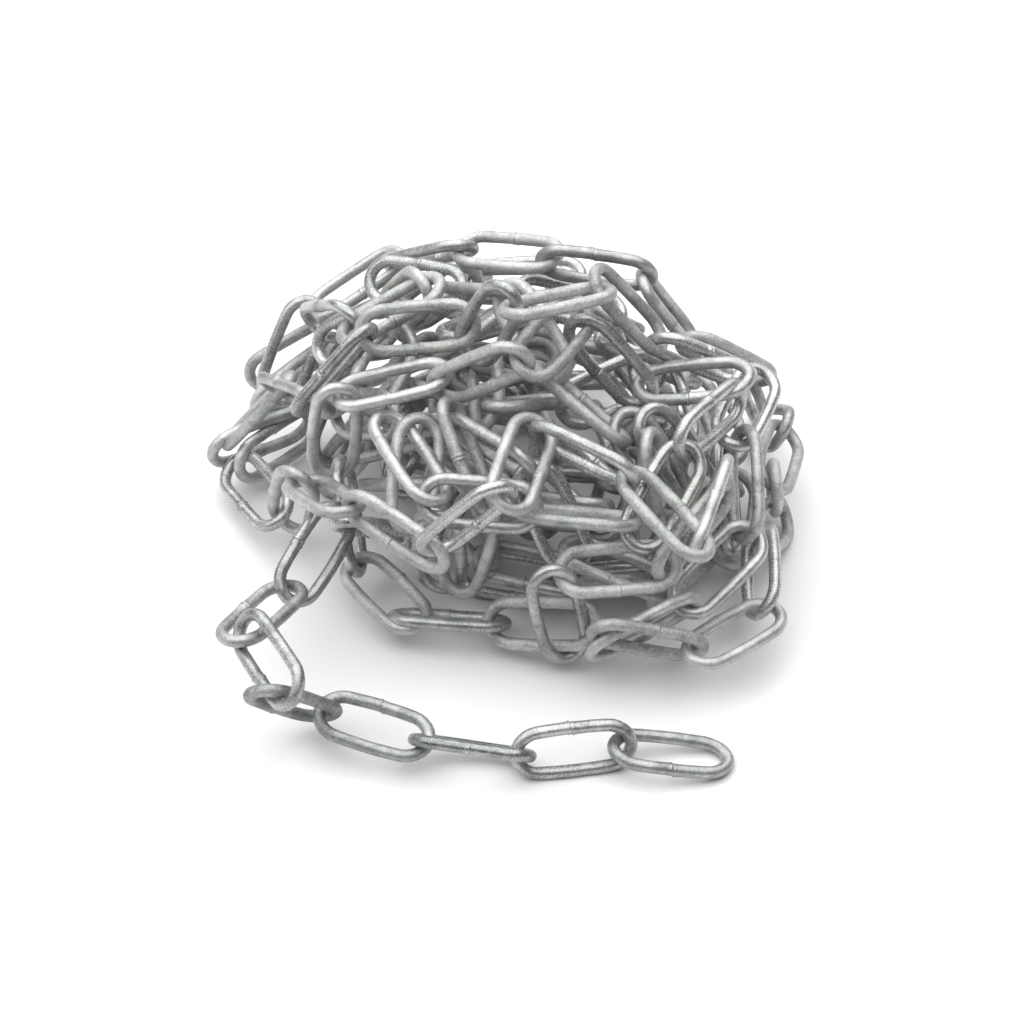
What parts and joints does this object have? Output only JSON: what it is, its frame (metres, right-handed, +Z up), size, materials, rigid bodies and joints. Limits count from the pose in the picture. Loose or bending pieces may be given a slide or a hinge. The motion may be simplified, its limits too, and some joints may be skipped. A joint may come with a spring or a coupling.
{
  "type": "heap of steel chain",
  "caption": "Loose heap of galvanised long-link steel chain with one free end trailing out over the floor in front.",
  "frame": {"origin": "middle of the heap's bounding box on the floor", "axes": "+Z up; -Y towards the side that the trailing end lies on, the side that the picture shows; +X to the right in that view"},
  "size_m": [0.2, 0.2181, 0.1071],
  "materials": {
    "galvanised_steel": "hot-dip galvanised, matt grey with brighter worn crests"
  },
  "bodies": {
    "root": {"chain_run_01": "galvanised_steel", "chain_run_02": "galvanised_steel", "chain_run_03": "galvanised_steel", "chain_run_04": "galvanised_steel", "chain_run_05": "galvanised_steel", "chain_run_06": "galvanised_steel", "chain_run_07": "galvanised_steel", "chain_run_08": "galvanised_steel", "chain_run_09": "galvanised_steel", "chain_run_10": "galvanised_steel", "chain_run_11": "galvanised_steel", "chain_run_12": "galvanised_steel", "chain_run_13": "galvanised_steel", "chain_run_14": "galvanised_steel", "chain_run_15": "galvanised_steel", "chain_run_16": "galvanised_steel", "chain_run_17": "galvanised_steel", "chain_run_18": "galvanised_steel", "chain_run_19": "galvanised_steel", "chain_run_20": "galvanised_steel", "chain_run_21": "galvanised_steel", "chain_run_22": "galvanised_steel", "chain_run_23": "galvanised_steel", "chain_run_24": "galvanised_steel", "chain_run_25": "galvanised_steel", "chain_run_26": "galvanised_steel", "chain_run_27": "galvanised_steel", "chain_run_28": "galvanised_steel", "chain_run_29": "galvanised_steel", "chain_run_30": "galvanised_steel", "chain_run_31": "galvanised_steel", "chain_run_32": "galvanised_steel", "chain_run_33": "galvanised_steel", "chain_run_34": "galvanised_steel", "chain_run_35": "galvanised_steel", "chain_run_36": "galvanised_steel", "chain_run_37": "galvanised_steel", "chain_run_38": "galvanised_steel", "chain_run_39": "galvanised_steel", "chain_run_40": "galvanised_steel", "chain_run_41": "galvanised_steel", "tail_link_01": "galvanised_steel", "tail_link_02": "galvanised_steel", "tail_link_03": "galvanised_steel", "tail_link_04": "galvanised_steel", "tail_link_05": "galvanised_steel", "tail_link_06": "galvanised_steel", "tail_link_07": "galvanised_steel", "tail_link_08": "galvanised_steel"}
  },
  "joints": []
}
